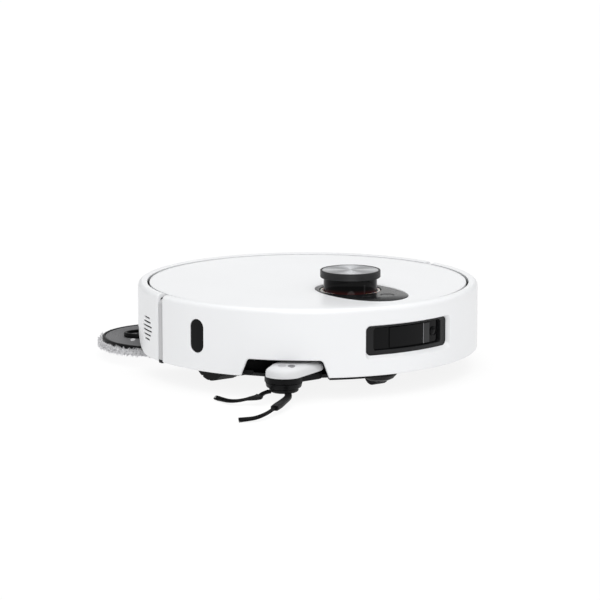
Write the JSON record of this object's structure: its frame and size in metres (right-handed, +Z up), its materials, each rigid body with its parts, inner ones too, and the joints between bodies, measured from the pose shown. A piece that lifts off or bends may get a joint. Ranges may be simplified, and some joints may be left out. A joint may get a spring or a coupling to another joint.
{
  "type": "robot vacuum",
  "caption": "Round robot vacuum with raised laser turret, swing-out side brush, spinning mops with one swung out, suction rollers, sprung drive wheels and lift-off lid.",
  "frame": {"origin": "middle of the floor under the whole object, with its side brush arm and right mop swung out", "axes": "+Z up, front of the machine towards -Y, the machine's own right towards -X"},
  "size_m": [0.3876, 0.3892, 0.1105],
  "materials": {
    "white_shell": "fine satin gloss, moulded",
    "black_plastic": "fine moulded grain",
    "deck_black": "satin black",
    "dark_window": "polished, infrared-clear",
    "spun_aluminium": "spun, fine circular grain",
    "steel": "bright",
    "light_diffuser": "milky",
    "tyre_rubber": "matt rubber, ribbed",
    "brush_rubber": "matt soft rubber",
    "bristles": "bundled nylon bristles",
    "mop_fibre": "microfibre pile",
    "mop_plate_grey": "matt, fine rings",
    "clear_bin": "smoke clear",
    "filter_paper": "pleated",
    "battery_case": "shrink sleeve",
    "circuit_board": "solder mask",
    "grey_plastic": "plain"
  },
  "bodies": {
    "base": {"rear_shell": "white_shell", "turret_deck": "deck_black", "chassis_base": "black_plastic", "inner_frame": "black_plastic", "top_deck": "black_plastic", "right_charge_contact": "steel", "left_charge_contact": "steel", "right_cliff_sensor": "dark_window", "left_cliff_sensor": "dark_window", "front_sensor_bar": "black_plastic", "turret_well": "black_plastic", "left_mop_motor": "black_plastic", "roller_housing": "black_plastic", "roller_guard": "black_plastic", "fan_housing": "black_plastic", "dust_box": "clear_bin", "dust_filter": "filter_paper", "water_tank": "clear_bin", "battery_pack": "battery_case", "main_board": "circuit_board"},
    "lid": {"top_lid": "white_shell"},
    "bumper": {"bumper_shell": "white_shell", "window_bezel": "deck_black", "window_glass": "dark_window", "side_sensor_window": "dark_window"},
    "start_button": {"start_button": "deck_black"},
    "home_button": {"home_button": "deck_black"},
    "turret": {"turret_carriage": "black_plastic", "light_ring": "light_diffuser", "turret_window": "dark_window", "turret_cap": "deck_black", "turret_cap_disc": "spun_aluminium"},
    "turret_optics": {"turret_optics": "grey_plastic"},
    "brush_arm": {"side_arm_cover": "white_shell", "side_arm_motor_housing": "black_plastic"},
    "side_brush": {"side_brush_hub": "black_plastic", "side_brush_arm_a": "brush_rubber", "side_brush_arm_b": "brush_rubber", "side_brush_tuft_a": "bristles", "side_brush_tuft_b": "bristles"},
    "right_mop_lift": {"right_lift_post": "steel"},
    "right_mop_arm": {"right_mop_arm": "black_plastic"},
    "right_mop": {"right_mop_pad": "mop_fibre", "right_mop_plate": "mop_plate_grey", "right_mop_holder": "black_plastic"},
    "left_mop_lift": {"left_lift_sleeve": "steel"},
    "left_mop": {"left_mop_pad": "mop_fibre", "left_mop_plate": "mop_plate_grey", "left_mop_holder": "black_plastic"},
    "front_roller": {"front_roller": "brush_rubber"},
    "rear_roller": {"rear_roller": "brush_rubber"},
    "right_suspension": {"right_gearbox": "black_plastic"},
    "left_suspension": {"left_gearbox": "black_plastic"},
    "right_wheel": {"right_wheel_hub": "black_plastic", "right_tyre": "tyre_rubber"},
    "left_wheel": {"left_wheel_hub": "black_plastic", "left_tyre": "tyre_rubber"},
    "caster": {"caster_fork": "black_plastic"},
    "caster_wheel": {"caster_wheel": "tyre_rubber"},
    "fan": {"fan_impeller": "grey_plastic"}
  },
  "joints": [
    {"name": "lid_lift", "type": "slide", "parent": "base", "child": "lid", "axis": [0, 0, 1], "range_m": [0, 0.04]},
    {"name": "bumper_press", "type": "slide", "parent": "base", "child": "bumper", "axis": [0, 1, 0], "range_m": [0, 0.002], "stiffness_N_per_m": 400},
    {"name": "start_button_press", "type": "slide", "parent": "base", "child": "start_button", "axis": [0, 0, -1], "range_m": [0, 0.0008], "stiffness_N_per_m": 600},
    {"name": "home_button_press", "type": "slide", "parent": "base", "child": "home_button", "axis": [0, 0, -1], "range_m": [0, 0.0008], "stiffness_N_per_m": 600},
    {"name": "turret_retract", "type": "slide", "parent": "base", "child": "turret", "axis": [0, 0, -1], "range_m": [0, 0.0203]},
    {"name": "turret_spin", "type": "hinge", "parent": "turret", "child": "turret_optics", "pos_m": [0.01884, -0.07689, 0.095], "axis": [0, 0, 1], "continuous": true},
    {"name": "brush_arm_swing", "type": "hinge", "parent": "base", "child": "brush_arm", "pos_m": [-0.07116, -0.13419, 0.026], "axis": [0, 0, -1], "range_deg": [0, 55]},
    {"name": "side_brush_spin", "type": "hinge", "parent": "brush_arm", "child": "side_brush", "pos_m": [-0.10166, -0.13119, 0.011], "axis": [0, 0, 1], "continuous": true},
    {"name": "right_mop_lower", "type": "slide", "parent": "base", "child": "right_mop_lift", "axis": [0, 0, -1], "range_m": [0, 0.011]},
    {"name": "mop_arm_swing", "type": "hinge", "parent": "right_mop_lift", "child": "right_mop_arm", "pos_m": [-0.01916, 0.12681, 0.032], "axis": [0, 0, 1], "range_deg": [0, 43.8]},
    {"name": "right_mop_spin", "type": "hinge", "parent": "right_mop_arm", "child": "right_mop", "pos_m": [-0.07295, 0.12211, 0.02], "axis": [0, 0, 1], "continuous": true},
    {"name": "left_mop_lower", "type": "slide", "parent": "base", "child": "left_mop_lift", "axis": [0, 0, -1], "range_m": [0, 0.011]},
    {"name": "left_mop_spin", "type": "hinge", "parent": "left_mop_lift", "child": "left_mop", "pos_m": [0.09241, 0.08618, 0.02], "axis": [0, 0, 1], "continuous": true},
    {"name": "front_roller_spin", "type": "hinge", "parent": "base", "child": "front_roller", "pos_m": [0.01884, -0.04469, 0.0166], "axis": [1, 0, 0], "continuous": true},
    {"name": "rear_roller_spin", "type": "hinge", "parent": "base", "child": "rear_roller", "pos_m": [0.01884, -0.01269, 0.0166], "axis": [1, 0, 0], "continuous": true},
    {"name": "right_suspension_swing", "type": "hinge", "parent": "base", "child": "right_suspension", "pos_m": [-0.07616, -0.03719, 0.044], "axis": [1, 0, 0], "range_deg": [-28, 6], "stiffness_Nm_per_rad": 1.5},
    {"name": "left_suspension_swing", "type": "hinge", "parent": "base", "child": "left_suspension", "pos_m": [0.11384, -0.03719, 0.044], "axis": [1, 0, 0], "range_deg": [-28, 6], "stiffness_Nm_per_rad": 1.5},
    {"name": "right_wheel_roll", "type": "hinge", "parent": "right_suspension", "child": "right_wheel", "pos_m": [-0.09666, -0.00919, 0.032], "axis": [1, 0, 0], "continuous": true},
    {"name": "left_wheel_roll", "type": "hinge", "parent": "left_suspension", "child": "left_wheel", "pos_m": [0.13434, -0.00919, 0.032], "axis": [1, 0, 0], "continuous": true},
    {"name": "caster_swivel", "type": "hinge", "parent": "base", "child": "caster", "pos_m": [0.01884, -0.12519, 0.02], "axis": [0, 0, 1], "continuous": true},
    {"name": "caster_roll", "type": "hinge", "parent": "caster", "child": "caster_wheel", "pos_m": [0.01884, -0.12119, 0.012], "axis": [1, 0, 0], "continuous": true},
    {"name": "fan_spin", "type": "hinge", "parent": "base", "child": "fan", "pos_m": [-0.05516, -0.08119, 0.057], "axis": [0, 0, 1], "continuous": true}
  ],
  "couplings": [
    {"joint": "left_mop_lower", "follows": "right_mop_lower", "ratio": 1},
    {"joint": "left_mop_spin", "follows": "right_mop_spin", "ratio": -1},
    {"joint": "rear_roller_spin", "follows": "front_roller_spin", "ratio": -1}
  ]
}
